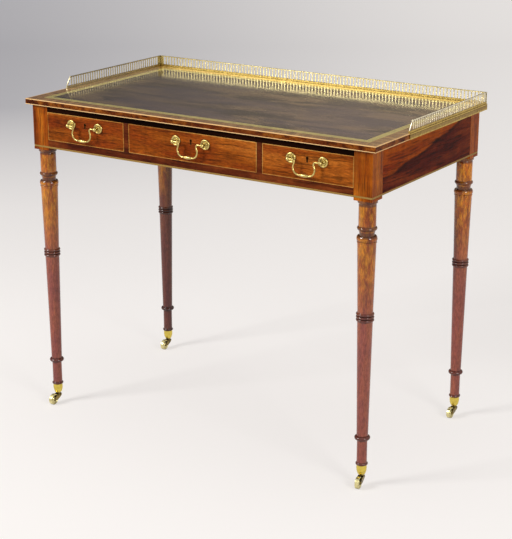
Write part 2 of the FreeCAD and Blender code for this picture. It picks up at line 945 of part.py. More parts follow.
def caster_fork(name):
    """Fork with its swivel stem, and the axle pin riveted through it."""
    x, y = corners[name]
    neck = rod(fork_neck_radius, fork_neck_height, vec(x, y, fork_neck_bottom), Z_AXIS)
    stem_start = vec(x, y, fork_neck_bottom)
    stem = rod(swivel_radius, swivel_top - fork_neck_bottom, stem_start, Z_AXIS)
    head_start = vec(x, y, swivel_top - swivel_head_height)
    head = rod(swivel_head_radius, swivel_head_height, head_start, Z_AXIS)
    inner = wheel_width / 2 + wheel_play
    outer = inner + arm_thickness
    root_y = (y - arm_root_depth / 2, y + arm_root_depth / 2)
    crown = box(around(x, 2 * outer), root_y, (fork_neck_bottom - arm_root_height, fork_neck_bottom))
    wheel_start = vec(x - inner, y - wheel_trail, wheel_radius)
    wheel_room = rod(wheel_radius + wheel_play, 2 * inner, wheel_start, X_AXIS)
    arms = [fork_arm(x, y, (x + side * inner, x + side * outer)) for side in sides.values()]
    fork = joined([neck, stem, head, crown.cut(wheel_room)] + arms)
    axle_start = vec(x - outer - axle_head_height, y - wheel_trail, wheel_radius)
    axle = rod(axle_radius, 2 * (outer + axle_head_height), axle_start, X_AXIS)
    head_step = X_AXIS * (2 * outer + axle_head_height)
    heads = [
        rod(axle_head_radius, axle_head_height, axle_start, X_AXIS),
        rod(axle_head_radius, axle_head_height, axle_start + head_step, X_AXIS),
    ]
    axle = joined([axle] + heads)
    return [swivelled(fork.cut(axle), name), swivelled(axle, name)]


def caster_wheel(name):
    """Brass wheel with a rounded tread and dished faces."""
    x, y = corners[name]
    half = wheel_width / 2
    bore = axle_radius + axle_gap
    rim_inner = wheel_radius - wheel_rim_width
    web = half - wheel_dish
    edge_bulge = wheel_edge_round * (1 - math.cos(math.pi / 4))
    points = [
        (bore, -half, None),
        (wheel_hub_radius, -half, None),
        (wheel_hub_radius + wheel_dish, -web, None),
        (rim_inner - wheel_dish, -web, None),
        (rim_inner, -half, None),
        (wheel_radius - wheel_edge_round, -half, None),
        (wheel_radius, wheel_edge_round - half, -edge_bulge),
        (wheel_radius, half - wheel_edge_round, None),
        (wheel_radius - wheel_edge_round, half, -edge_bulge),
        (rim_inner, half, None),
        (rim_inner - wheel_dish, web, None),
        (wheel_hub_radius + wheel_dish, web, None),
        (wheel_hub_radius, half, None),
        (bore, half, None),
    ]
    wheel = turned(points, vec(x, y - wheel_trail, wheel_radius), X_AXIS)
    return swivelled(wheel, name)


# Assembly

def nodes():
    """Every piece by name, as one solid or a list of solids."""
    pieces = {
        "top_board": top_board(),
        "leather_inset": leather_inset(),
        "top_edge_lines": top_edge_lines(),
        "gallery_rear": gallery_rear(),
        "gallery_left": gallery_side(-1),
        "gallery_right": gallery_side(1),
        "gallery_edge_strip": gallery_edge_strip(),
        "gallery_pins": gallery_pins(),
        "apron_back": apron_back(),
        "front_top_rail": front_top_rail(),
        "front_bottom_rail": front_bottom_rail(),
        "drawer_dividers": drawer_dividers(),
        "frieze_base_line": base_line_ring(),
        "drawer_runners": drawer_runners(),
        "drawer_guides": drawer_guides(),
        "drawer_kickers": drawer_kickers(),
        "drawer_stops": drawer_stops(),
        "top_screws": top_screws(),
        "caster_cups": [caster_cup(name) for name in corners],
    }
    for side in sides:
        pieces["apron_" + side] = apron_side(side)
    for name in corners:
        pieces["leg_" + name] = leg(name)
        pieces["caster_fork_" + name] = caster_fork(name)
        pieces["caster_wheel_" + name] = caster_wheel(name)
    for name in drawers:
        pieces["drawer_front_" + name] = drawer_front(name)
        pieces["drawer_stringing_" + name] = drawer_stringing(name)
        pieces["drawer_sides_" + name] = drawer_sides(name)
        pieces["drawer_back_" + name] = drawer_back(name)
        pieces["drawer_bottom_" + name] = drawer_bottom(name)
        pieces["handle_mounts_" + name] = handle_mounts(name)
        pieces["handle_bail_" + name] = bail(name)
        pieces["lock_" + name] = [lock_case(name), keyhole_line_ring(name)]
        pieces["lock_bolt_" + name] = lock_bolt(name)
    return pieces


def save(name, shapes):
    """Write one STEP file, and print its solids and volume."""
    solids = []
    for shape in shapes if isinstance(shapes, list) else [shapes]:
        solids += shape.Solids
    compound = Part.makeCompound(solids) if len(solids) > 1 else solids[0]
    compound.exportStep(os.path.join("parts", name + ".step"))
    state = "valid" if compound.isValid() else "NOT VALID"
    print(f"{name}: {len(solids)} solids, {compound.Volume:.0f} mm3, {state}")


os.makedirs("parts", exist_ok=True)
for node_name, node_shapes in nodes().items():
    save(node_name, node_shapes)
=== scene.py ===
"""Looks of the writing table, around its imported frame. Metres, +Z up, the drawers face -Y."""

import math

import bmesh
import bpy
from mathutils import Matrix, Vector


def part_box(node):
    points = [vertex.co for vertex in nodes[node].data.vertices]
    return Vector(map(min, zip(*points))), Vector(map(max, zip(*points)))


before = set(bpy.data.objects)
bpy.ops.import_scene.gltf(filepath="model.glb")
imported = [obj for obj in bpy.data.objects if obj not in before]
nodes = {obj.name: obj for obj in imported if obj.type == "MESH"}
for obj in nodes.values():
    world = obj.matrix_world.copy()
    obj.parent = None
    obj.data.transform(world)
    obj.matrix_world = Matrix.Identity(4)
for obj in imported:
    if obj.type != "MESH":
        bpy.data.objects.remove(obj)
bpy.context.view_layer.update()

mm = 0.001
full_turn = 2 * math.pi

# Camera, fitted to the corners, feet and rings of the table in the photograph
camera_place = Vector((1.7867, -2.7280, 1.3841))
camera_yaw = 0.578
camera_pitch = 0.308
camera_focal_pixels = 1484.5
camera_reach = 50.0
photo_height_pixels = 539
sensor_side = 36.0

# Arrises. A hand-finished arris is a small round, and each kind of piece has its own.
weld_reach = 0.002 * mm
flat_angle = math.radians(0.3)
arris_angle = math.radians(34)
arris_steps = 2
wood_arris = 0.5 * mm
inlaid_arris = 0.15 * mm
line_arris = 0.6 * mm
lining_arris = 0.8 * mm
gallery_arris = 0.3 * mm
brass_arris = 0.25 * mm
leather_arris = 0.3 * mm

# Figure of the woods, in cycles per metre along and across the grain
sway_cycles = (4.0, 7.0)
cloud_cycles = (9.0, 20.0)
streak_cycles = (12.0, 240.0)
fibre_cycles = (45.0, 1200.0)
pore_cycles = (170.0, 2400.0)
ripple_cycles = (70.0, 16.0)
dash_cycles = (70.0, 420.0)

# Stops of a wood's dark, middle and light tones in its figure, the sway of its lines, and its polish
tone_stops = (0.30, 0.46, 0.62)
sway_reach = 30.0 * mm
pore_depth = 0.03 * mm
wood_coat_roughness = 0.06

# Border of the top, lightened along its outer edge by a painted highlight of the rounded arris
edge_highlight_width = 6.0 * mm
top_band = (9.0, 62.0)

# How far below the top's face the veneer of its edge ends, and that of its border begins
edge_veneer_drop = 1.2 * mm
border_veneer_drop = 0.2 * mm

# Aprons, in shares of their own height: the veneer's dark heart in front, its climb and its wander
heart_front_share = 0.40
heart_climb_share = 0.75
heart_wander_share = 0.28
heart_climb_power = 1.6
heart_wander_cycles = (9.0, 16.0)

# Depths below the heart's top line, in the same shares, over which it turns dark and its rim comes and goes
heart_depths = (-0.01, 0.05)
rim_start_depths = (-0.02, 0.02)
rim_end_depths = (0.13, 0.03)

# Legs. Here and below, a step is the distance over which one look gives way to the next. The reach is that
# of the painted shade in the grooves of the rings.
post_bottom = 623.5 * mm
post_step = 0.5 * mm
rear_step = 50.0 * mm
ring_groove_shade_reach = 7.0 * mm
leg_band = (4.0, 40.0)
mottle_cycles = (36.0, 100.0)
leg_fleck_cycles = (90.0, 330.0)

# Heights between which the red foot of a turning, partly a painted reflection of the pale floor, becomes
# golden
red_end = 300.0 * mm
golden_start = 550.0 * mm

# Groups of rings on the turnings, each as its middle and its half height. Painted shade darkens them.
ring_groups = (
    (617.0 * mm, 6.0 * mm),
    (565.0 * mm, 5.0 * mm),
    (552.0 * mm, 6.0 * mm),
    (377.3 * mm, 9.5 * mm),
    (110.0 * mm, 5.5 * mm),
    (51.0 * mm, 4.0 * mm),
)

# Inlaid lines, tinted by their height: a painted highlight on the top's arris lines, and olive along the
# frieze
line_step = 1.0 * mm
line_tint = 0.85

# Metal, with its figure in cycles per metre
tarnish_cycles = 160.0
speck_cycles = 900.0
scratch_cycles = (2600.0, 300.0, 900.0)
steel_cycles = 300.0
scratch_depth = 0.02 * mm

# How far painted shade reaches out of a corner, and the brown middle of a strip that is darker along its
# middle
brass_shade_reach = 2.5 * mm
caster_shade_reach = 6.0 * mm
dark_middle_share = 0.6
dark_middle_strength = 0.6

# Foot of the gallery, which is a deeper colour than its sheet
gallery_curb_height = 5.0 * mm
curb_step = 0.5 * mm
curb_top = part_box("top_board")[1].z + gallery_curb_height

# Leather, with its figure in cycles per metre
leather_low, leather_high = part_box("leather_inset")
leather_middle = (leather_low + leather_high) / 2
leather_half = (leather_high - leather_low) / 2
hide_cloud_cycles = (7.0, 20.0, 7.0)
hide_hue_cycles = (3.0, 7.0, 3.0)
hide_grain_cycles = 1300.0
hide_swell_cycles = 14.0
hide_grain_height = 0.05 * mm
hide_swell_height = 0.4 * mm
tooling_depth = 0.15 * mm

# Tooled border of the leather. Shares are of the band's width, and each line has its middle and half width.
gilt_band = 15.0 * mm
gilt_repeat = 9.0 * mm
gilt_wear_cycles = 70.0
gilt_film = 0.45
gilt_film_share = 0.97
gilt_soft_share = 0.015
scroll_swing_share = 0.16
scroll_half_share = 0.07
dot_swing_share = 0.13
dot_half_share = 0.095
gilt_line_shares = ((0.08, 0.07), (0.22, 0.03), (0.78, 0.03), (0.92, 0.07))

# Studio. The sweep's own axes are square to the photograph's view: X to its right, Y away from it.
stage_half_width = 20.0
stage_front = -20.0
stage_back = 5.4
stage_curve = 1.6
stage_height = 7.0
stage_curve_steps = 24

# Y where the shade of the near floor ends, and where the backdrop's starts, bends and is full
near_floor_start = -0.3
near_floor_end = 0.9
backdrop_start = 0.5
backdrop_bend = 1.8
backdrop_full = 3.6
backdrop_bend_share = 0.2

# Bearings from the photograph's viewpoint, as X over distance, where the backdrop is palest and darkest
viewpoint_depth = 3.26
pale_bearing = 0.215
dark_bearing = -0.235
pale_share = 0.17

# Z where the backdrop gives way to the dark overhead
overhead_start = 0.8
overhead_full = 1.5

# Light
world_colour = (1.0, 0.985, 0.97, 1.0)
world_light = 0.32
world_seen = 0.78
lamp_aim = Vector((0, 0, 0.6))
lamps = {
    "key_lamp": {"place": Vector((-2.1, -2.9, 2.4)), "width": 1.1, "height": 1.1, "power": 108},
    "front_lamp": {"place": Vector((-1.95, -3.0, 1.45)), "width": 2.2, "height": 0.9, "power": 4},
    "side_lamp": {"place": Vector((3.0, -1.4, 1.6)), "width": 1.1, "height": 1.1, "power": 46},
    "top_lamp": {"place": Vector((0.2, 0.2, 3.4)), "width": 2.0, "height": 2.0, "power": 12},
}


class Tree:
    """The nodes of a material or a world. Each method adds some and returns what the next one takes."""

    def __init__(self, owner):
        owner.use_nodes = True
        self.owner = owner
        self.nodes = owner.node_tree.nodes
        self.links = owner.node_tree.links
        self.nodes.clear()

    def feed(self, socket, value):
        """Links another node's output to a socket, or sets a plain value on it."""
        if isinstance(value, bpy.types.NodeSocket):
            self.links.new(value, socket)
        else:
            socket.default_value = value

    def add(self, kind, inputs=None, **settings):
        node = self.nodes.new(kind)
        for key, value in settings.items():
            setattr(node, key, value)
        for socket, value in (inputs or {}).items():
            self.feed(node.inputs[socket], value)
        return node

    def place(self):
        """Position on the piece itself, so that a pattern moves with its body."""
        return self.add("ShaderNodeTexCoord").outputs["Object"]

    def facing(self):
        """Direction that a face looks in, in the piece's own axes."""
        return self.add("ShaderNodeTexCoord").outputs["Normal"]

    def axes(self, vector):
        node = self.add("ShaderNodeSeparateXYZ", {0: vector})
        return node.outputs["X"], node.outputs["Y"], node.outputs["Z"]

    def vector(self, x, y, z):
        return self.add("ShaderNodeCombineXYZ", {0: x, 1: y, 2: z}).outputs[0]

    def math(self, operation, first, second=0.0):
        return self.add("ShaderNodeMath", {0: first, 1: second}, operation=operation).outputs[0]

    def plus(self, first, second):
        return self.math("ADD", first, second)

    def minus(self, first, second):
        return self.math("SUBTRACT", first, second)

    def times(self, first, *others):
        for other in others:
            first = self.math("MULTIPLY", first, other)
        return first

    def larger(self, first, second):
        return self.math("MAXIMUM", first, second)

    def without(self, mask, share):
        """1 where the mask is 0, less the share where it is 1."""
        return self.minus(1.0, self.times(mask, share))

    def vector_math(self, operation, first, second):
        inputs = {0: first, 1: second}
        return self.add("ShaderNodeVectorMath", inputs, operation=operation).outputs["Vector"]

    def noise(self, vector, scale=1.0, detail=2.0, roughness=0.5, distortion=0.0):
        inputs = {"Vector": vector, "Scale": scale, "Detail": detail}
        inputs.update({"Roughness": roughness, "Distortion": distortion})
        return self.add("ShaderNodeTexNoise", inputs).outputs["Fac"]

    def cells(self, vector, scale):
        """Distance from the middle of the nearest cell of a grain like that of hide."""
        return self.add("ShaderNodeTexVoronoi", {"Vector": vector, "Scale": scale}).outputs["Distance"]

    def span(self, value, low, high, start=0.0, end=1.0, smooth=True):
        """Value from low to high turned into start to end, and held outside."""
        kind = "SMOOTHSTEP" if smooth else "LINEAR"
        inputs = {"Value": value, "From Min": low, "From Max": high, "To Min": start, "To Max": end}
        return self.add("ShaderNodeMapRange", inputs, interpolation_type=kind).outputs["Result"]

    def mix(self, factor, first, second, kind="RGBA"):
        """The first colour where the factor is 0, and the second where it is 1."""
        inputs = {"Factor": factor, "A": first, "B": second}
        return self.add("ShaderNodeMix", inputs, data_type=kind).outputs["Result"]

    def scaled(self, colour, factor):
        """Colour made darker below a factor of 1, and lighter above it."""
        inputs = {"Vector": colour, "Scale": factor}
        return self.add("ShaderNodeVectorMath", inputs, operation="SCALE").outputs["Vector"]

    def ramp(self, factor, positions, colours):
        node = self.add("ShaderNodeValToRGB", {"Fac": factor})
        elements = node.color_ramp.elements
        while len(elements) < len(positions):
            elements.new(0.5)
        for element, position, colour in zip(elements, positions, colours):
            element.position = position
            element.color = colour
        return node.outputs["Color"]

    def bump(self, height, distance, strength, normal=None):
        inputs = {"Height": height, "Distance": distance, "Strength": strength}
        if normal is not None:
            inputs["Normal"] = normal
        return self.add("ShaderNodeBump", inputs).outputs["Normal"]

    def surface(self, **inputs):
        """Principled surface. Keys are its socket names in small letters, with _ for a space."""
        node = self.add("ShaderNodeBsdfPrincipled")
        by_name = {socket.name.lower().replace(" ", "_"): socket for socket in node.inputs}
        for name, value in inputs.items():
            self.feed(by_name[name], value)
        self.output(node.outputs["BSDF"])
        return self.owner

    def output(self, shader, kind="Material"):
        self.add("ShaderNodeOutput" + kind, {"Surface": shader})


def material_tree(name):
    """The empty nodes of a new material."""
    return Tree(bpy.data.materials.new(name))


def srgb(red_and_floor_reflection, green, blue):
    """Colour written as 0 to 255 values, as linear light."""
    def linear(value):
        share = value / 255
        return share / 12.92 if share <= 0.04045 else ((share + 0.055) / 1.055) ** 2.4
    return (linear(red_and_floor_reflection), linear(green), linear(blue), 1.0)


def line_mask(t, distance, middle, half_width):
    """1 within half_width of a middle distance, with a soft edge."""
    off = t.math("ABSOLUTE", t.minus(distance, middle))
    return t.span(off, half_width * 1.25, half_width * 0.75)


def nearest_side(t, here, middle, half):
    """Distance in from the nearest edge of a rectangle, and 1 where that edge is a left or right one."""
    x, y, _ = t.axes(here)
    from_x = t.minus(half.x, t.math("ABSOLUTE", t.minus(x, middle.x)))
    from_y = t.minus(half.y, t.math("ABSOLUTE", t.minus(y, middle.y)))
    return t.math("MINIMUM", from_x, from_y), t.math("LESS_THAN", from_x, from_y)


def painted_crevice_shade(t, colour, reach, share):
    """Colour darkened by ambient occlusion in grooves and corners: painted shade."""
    open_share = t.add("ShaderNodeAmbientOcclusion", {"Distance": reach}, samples=6).outputs["AO"]
    return t.scaled(colour, t.span(open_share, 0.35, 0.95, 1.0 - share, 1.0))


# Rounded arrises

def smooth_faces():
    """Nodes that join split corners and shade every face smooth, ready for the bevels after them."""
    group = bpy.data.node_groups.new("smooth_faces", "GeometryNodeTree")
    group.interface.new_socket("Geometry", in_out="INPUT", socket_type="NodeSocketGeometry")
    group.interface.new_socket("Geometry", in_out="OUTPUT", socket_type="NodeSocketGeometry")
    start = group.nodes.new("NodeGroupInput")
    normals = group.nodes.new("GeometryNodeRemoveAttribute")
    normals.inputs["Name"].default_value = "custom_normal"
    weld = group.nodes.new("GeometryNodeMergeByDistance")
    weld.inputs["Distance"].default_value = weld_reach
    chain = [start, normals, weld]
    for domain in ("FACE", "EDGE"):
        smooth = group.nodes.new("GeometryNodeSetShadeSmooth")
        smooth.domain = domain
        chain.append(smooth)
    chain.append(group.nodes.new("NodeGroupOutput"))
    for giver, taker in zip(chain, chain[1:]):
        group.links.new(giver.outputs["Geometry"], taker.inputs["Geometry"])
    return group


smoothing = smooth_faces()


def soften(piece, width):
    """Rounds the arrises of a piece with modifiers, which leave its own mesh as it came."""
    piece.modifiers.new("smooth", "NODES").node_group = smoothing
    flats = piece.modifiers.new("flats", "DECIMATE")
    flats.decimate_type = "DISSOLVE"
    flats.angle_limit = flat_angle
    arris = piece.modifiers.new("arris", "BEVEL")
    arris.limit_method = "ANGLE"
    arris.angle_limit = arris_angle
    arris.width = width
    arris.segments = arris_steps
    arris.harden_normals = True


# The arris of each kind of piece, by the longest start of its name
arris_of = {
    "top_board": inlaid_arris,
    "leather_inset": leather_arris,
    "top_edge_lines": line_arris,
    "frieze_base_line": line_arris,
    "drawer_stringing": inlaid_arris,
    "gallery": gallery_arris,
    "gallery_edge_strip": brass_arris,
    "gallery_pins": brass_arris,
    "apron": wood_arris,
    "front": wood_arris,
    "leg": wood_arris,
    "drawer_dividers": wood_arris,
    "drawer_front": inlaid_arris,
    "drawer": lining_arris,
    "handle": brass_arris,
    "lock": brass_arris,
    "caster": brass_arris,
    "top_screws": brass_arris,
}


def longest_start(name, choices):
    """The longest of the choices that a node's name starts with, or None."""
    starts = [choice for choice in choices if name.startswith(choice)]
    return max(starts, key=len, default=None)


def soften_frame():
    """Every CAD node with the arris of its own kind."""
    for name, node in nodes.items():
        soften(node, arris_of[longest_start(name, arris_of)])


# Wood

def along_grain(t, here, grain):
    """Coordinates turned so that the grain runs along X."""
    x, y, z = t.axes(here)
    return t.vector(*{"X": (x, y, z), "Y": (y, z, x), "Z": (z, x, y)}[grain])


def stretched(t, vector, cycles):
    """Coordinates in cycles per metre, given along the grain and across it."""
    along, across = cycles
    return t.vector_math("MULTIPLY", vector, (along, across, across))


def timber(t, laid, tones, veins=0.5, patch=None, band=(2.5, 28.0), rings=8.0, fleck=0.16):
    """Colour, fibre and pores of a wood with its grain along X.

    tones are its dark, middle and light colours, band is the cycles that they change in, and patch is the
    colour of its clouds. veins and fleck are the strength of its lines and of its dashes, and rings is the
    growth lines over the range of its tones.
    """
    sway = t.minus(t.noise(stretched(t, laid, sway_cycles), detail=1.0), 0.5)
    shift = t.times(sway, sway_reach)
    bent = t.vector_math("ADD", laid, t.vector(0.0, shift, shift))
    field = t.noise(stretched(t, bent, band), detail=4.0, roughness=0.55)
    colour = t.ramp(field, tone_stops, tones)
    if patch is not None:
        cloud = t.noise(stretched(t, laid, cloud_cycles), detail=3.0, distortion=0.5)
        colour = t.mix(t.times(t.span(cloud, 0.42, 0.62), 0.6), colour, patch)
    growth = t.math("SINE", t.times(field, full_turn * rings))
    growth = t.times(t.span(growth, 0.5, 1.0), t.span(field, 0.35, 0.55, 1.0, 0.35))
    streak = t.span(t.noise(stretched(t, bent, streak_cycles), detail=2.0), 0.53, 0.68)
    fibre = t.noise(stretched(t, bent, fibre_cycles), detail=2.0, roughness=0.6)
    pore = t.span(t.noise(stretched(t, laid, pore_cycles), detail=1.0), 0.62, 0.72)
    ripple = t.noise(stretched(t, laid, ripple_cycles), detail=2.0)
    dash = t.noise(stretched(t, laid, dash_cycles), detail=3.0, roughness=0.7)
    shade = t.times(
        t.without(growth, veins * 0.55),
        t.without(streak, veins),
        t.span(fibre, 0.3, 0.7, 1.0 + veins * 0.2, 1.0 - veins * 0.3),
        t.span(ripple, 0.3, 0.7, 0.9, 1.1),
        t.without(pore, 0.35),
        t.span(dash, 0.32, 0.68, 1.0 - fleck, 1.0 + fleck),
    )
    return t.scaled(colour, shade), fibre, pore


def polish(t, colour, fibre, pore, gloss, specular=0.25, coat=0.0):
    """Polished surface over open pores. gloss is the least roughness."""
    return t.surface(
        base_color=colour,
        roughness=t.span(fibre, 0.25, 0.75, gloss, gloss + 0.1),
        normal=t.bump(t.plus(pore, t.times(fibre, 0.3)), -pore_depth, 0.5),
        specular_ior_level=specular,
        coat_weight=coat,
        coat_roughness=wood_coat_roughness,
    )


def wood(name, grain, tones, gloss=0.28, specular=0.25, **figure):
    """A wood of one piece of timber, with its grain along the named axis."""
    t = material_tree(name)
    laid = along_grain(t, t.place(), grain)
    colour, fibre, pore = timber(t, laid, tones, **figure)
    return polish(t, colour, fibre, pore, gloss, specular)


def crossbanded_top():
    """Border veneered across its width and mitred at the corners, over a darker edge."""
    t = material_tree("rosewood_top")
    here = t.place()
    low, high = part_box("top_board")
    inset, side = nearest_side(t, here, (low + high) / 2, (high - low) / 2)
    laid = t.mix(side, along_grain(t, here, "Y"), along_grain(t, here, "X"), kind="VECTOR")
    border_tones = (srgb(112, 72, 30), srgb(158, 110, 54), srgb(190, 144, 82))
    border, fibre, pore = timber(t, laid, border_tones, veins=0.5, patch=srgb(136, 84, 36), band=top_band)
    wear_and_edge_highlight = srgb(214, 166, 110)
    # Painted highlight of the rounded arris along the border's outer edge
    border = t.mix(t.span(inset, edge_highlight_width, edge_highlight_width / 2, 0.0, 0.7), border, wear_and_edge_highlight)
    edge_tones = (srgb(64, 22, 4), srgb(114, 54, 12), srgb(152, 84, 26))
    edge, _, _ = timber(t, laid, edge_tones, veins=0.6, patch=srgb(98, 36, 10), band=top_band)
    _, _, z = t.axes(here)
    above = t.span(z, high.z - edge_veneer_drop, high.z - border_veneer_drop)
    return polish(t, t.mix(above, edge, border), fibre, pore, gloss=0.24, specular=0.06, coat=above)


def figured_apron():
    """Side veneer with a dark heart below a line that climbs from the front to the rear."""
    t = material_tree("rosewood_apron")
    here = t.place()
    low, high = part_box("apron_right")
    laid = along_grain(t, here, "Y")
    _, y, z = t.axes(here)
    back = t.span(y, low.y, high.y, smooth=False)
    up = t.span(z, low.z, high.z, smooth=False)
    wander = t.minus(t.noise(stretched(t, laid, heart_wander_cycles), detail=3.0), 0.5)
    climb = t.times(t.math("POWER", back, heart_climb_power), heart_climb_share)
    climb = t.plus(heart_front_share, climb)
    climb = t.plus(climb, t.times(wander, heart_wander_share))
    below = t.minus(climb, up)
    light_tones = (srgb(112, 36, 6), srgb(164, 74, 14), srgb(194, 102, 28))
    light, fibre, pore = timber(t, laid, light_tones, veins=0.55, patch=srgb(140, 50, 12))
    dark_tones = (srgb(44, 8, 4), srgb(94, 28, 10), srgb(136, 58, 22))
    dark, _, _ = timber(t, laid, dark_tones, veins=0.65, patch=srgb(70, 16, 12), rings=11.0)
    colour = t.mix(t.span(below, *heart_depths), light, dark)
    rim = t.times(t.span(below, *rim_start_depths), t.span(below, *rim_end_depths))
    return polish(t, t.scaled(colour, t.without(rim, 0.45)), fibre, pore, gloss=0.24, specular=0.02)


def painted_ring_shade(t, z):
    """1 on the groups of rings of the turned legs, where painted shade darkens them."""
    shade_on_rings = 0.0
    for middle, half_height in ring_groups:
        shade_on_rings = t.larger(shade_on_rings, line_mask(t, z, middle, half_height))
    return shade_on_rings


def turned_colour(t, laid, z, height):
    """Turning that is golden and mottled above, redder towards the floor, partly as a painted reflection of
    the pale floor, and darkened with painted shade on its rings and in its grooves.
    """
    tones = (srgb(108, 42, 6), srgb(168, 84, 10), srgb(202, 116, 18))
    gold = srgb(220, 144, 24)
    red_and_floor_reflection = srgb(146, 75, 75)
    shade_on_rings = srgb(66, 28, 20)
    patch = srgb(140, 58, 10)
    colour, fibre, pore = timber(t, laid, tones, veins=0.3, patch=patch, band=leg_band, fleck=0.2)
    mottle = t.noise(stretched(t, laid, mottle_cycles), detail=5.0, roughness=0.7)
    gilding = t.times(t.span(mottle, 0.42, 0.6), t.span(height, 0.0, 1.0, 0.08, 0.6))
    colour = t.mix(gilding, colour, gold)
    # Redder and pinker towards the floor, partly a painted reflection of the pale floor
    colour = t.mix(t.span(height, 0.0, 1.0, 0.65, 0.0), colour, red_and_floor_reflection)
    flecks = t.noise(stretched(t, laid, leg_fleck_cycles), detail=3.0, roughness=0.7)
    colour = t.scaled(colour, t.span(flecks, 0.36, 0.64, 0.78, 1.24))
    # Painted shade on the rings, then in their grooves
    colour = t.mix(t.times(painted_ring_shade(t, z), 0.7), colour, shade_on_rings)
    return painted_crevice_shade(t, colour, ring_groove_shade_reach, 0.85), fibre, pore


def leg_wood():
    """Legs: a square post over the turning, with the rear left leg darkened by painted shade and the rear
    ones made paler above by painted light.
    """
    t = material_tree("rosewood_leg")
    here = t.place()
    laid = along_grain(t, here, "Z")
    x, y, z = t.axes(here)
    height = t.span(z, red_end, golden_start)
    turned, fibre, pore = turned_colour(t, laid, z, height)
    tones = (srgb(102, 36, 3), srgb(163, 79, 10), srgb(196, 110, 26))
    post, _, _ = timber(t, laid, tones, veins=0.5, patch=srgb(126, 50, 6), band=leg_band)
    on_post = t.span(z, post_bottom - post_step, post_bottom)
    colour = t.mix(on_post, turned, post)
    rear = t.span(y, -rear_step, rear_step)
    rear_left_shade = t.times(rear, t.span(x, rear_step, -rear_step))
    # Painted shade on the rear left leg, and painted light on the upper part of the rear legs
    colour = t.scaled(colour, t.span(rear_left_shade, 0.0, 1.0, 1.0, 0.5))
    colour = t.scaled(colour, t.span(t.times(rear, height), 0.0, 1.0, 0.95, 1.28))
    coat = t.span(on_post, 0.0, 1.0, 0.8, 0.03)
    return polish(t, colour, fibre, pore, gloss=0.2, specular=0.06, coat=coat)


def line_wood():
    """Boxwood lines: lightened with a painted highlight on the top's arrises, rosy round the drawers, olive
    along the frieze.
    """
    t = material_tree("boxwood_line")
    here = t.place()
    laid = along_grain(t, here, "X")
    _, _, z = t.axes(here)
    frieze_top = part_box("front_top_rail")[1].z
    frieze_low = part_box("frieze_base_line")[1].z
    tones = (srgb(150, 92, 38), srgb(190, 130, 60), srgb(212, 154, 80))
    colour, fibre, pore = timber(t, laid, tones, veins=0.2)
    # Painted highlight for the lines of the top's arrises, and olive for the frieze's line
    arris_highlight = t.mix(line_tint, colour, srgb(255, 210, 148))
    olive = t.mix(line_tint, colour, srgb(152, 122, 64))
    colour = t.mix(t.span(z, frieze_top - line_step, frieze_top), colour, arris_highlight)
    colour = t.mix(t.span(z, frieze_low + line_step, frieze_low), colour, olive)
    return polish(t, colour, fibre, pore, gloss=0.24, specular=0.06)


# Metal

def brass(
    name, tone, tarnish=srgb(138, 110, 52), rough=0.22, wear=0.5, shade_reach=brass_shade_reach,
    dull_top=0.0, dark_middle=None, curb=None,
):
    """Lacquered brass with duller patches, fine scratches, and painted shade darkening its corners out to a
    set reach.

    dull_top is how far faces that look up are darkened, a painted reflection of the dark overhead,
    dark_middle names a strip that is brown along its middle, and curb is the deeper colour of the gallery's
    foot.
    """
    t = material_tree(name)
    here = t.place()
    _, _, z = t.axes(here)
    cloud = t.noise(here, scale=tarnish_cycles, detail=4.0, roughness=0.65)
    speck = t.noise(here, scale=speck_cycles, detail=2.0)
    scratch = t.noise(t.vector_math("MULTIPLY", here, scratch_cycles), detail=2.0)
    if curb:
        tone = t.mix(t.span(z, curb_top, curb_top + curb_step), curb, tone)
    colour = t.mix(t.times(t.span(cloud, 0.42, 0.68), wear), tone, tarnish)
    colour = t.mix(t.times(t.span(speck, 0.6, 0.75), 0.3 * wear), colour, tarnish)
    # Faces that look up darkened towards the tarnish: a painted reflection of the dark overhead
    if dull_top:
        _, _, up = t.axes(t.facing())
        colour = t.mix(t.span(up, 0.5, 0.9, 0.0, dull_top), colour, tarnish)
    if dark_middle:
        low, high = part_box(dark_middle)
        half = (high.z - low.z) / 2
        middle = line_mask(t, z, low.z + half, half * dark_middle_share)
        colour = t.mix(t.times(middle, dark_middle_strength), colour, tarnish)
    # Painted shade in corners and grooves
    colour = painted_crevice_shade(t, colour, shade_reach, 0.8)
    roughness = t.plus(t.span(cloud, 0.3, 0.7, rough, rough + 0.12), t.times(speck, 0.05))
    normal = t.bump(t.plus(t.times(cloud, 2.0), scratch), scratch_depth, 0.35)
    return t.surface(base_color=colour, metallic=1.0, roughness=roughness, normal=normal)


def steel():
    """Dull steel of the screws."""
    t = material_tree("steel_screw")
    cloud = t.noise(t.place(), scale=steel_cycles, detail=3.0)
    colour = t.mix(cloud, srgb(120, 116, 112), srgb(168, 164, 160))
    return t.surface(base_color=colour, metallic=1.0, roughness=t.span(cloud, 0.3, 0.7, 0.35, 0.5))


# Leather

def gilt_mark(t, distance, half_share):
    """1 within half_share of the border's width, with a soft edge."""
    outer = gilt_band * (half_share + gilt_soft_share)
    inner = gilt_band * (half_share - gilt_soft_share)
    return t.span(distance, outer, inner)


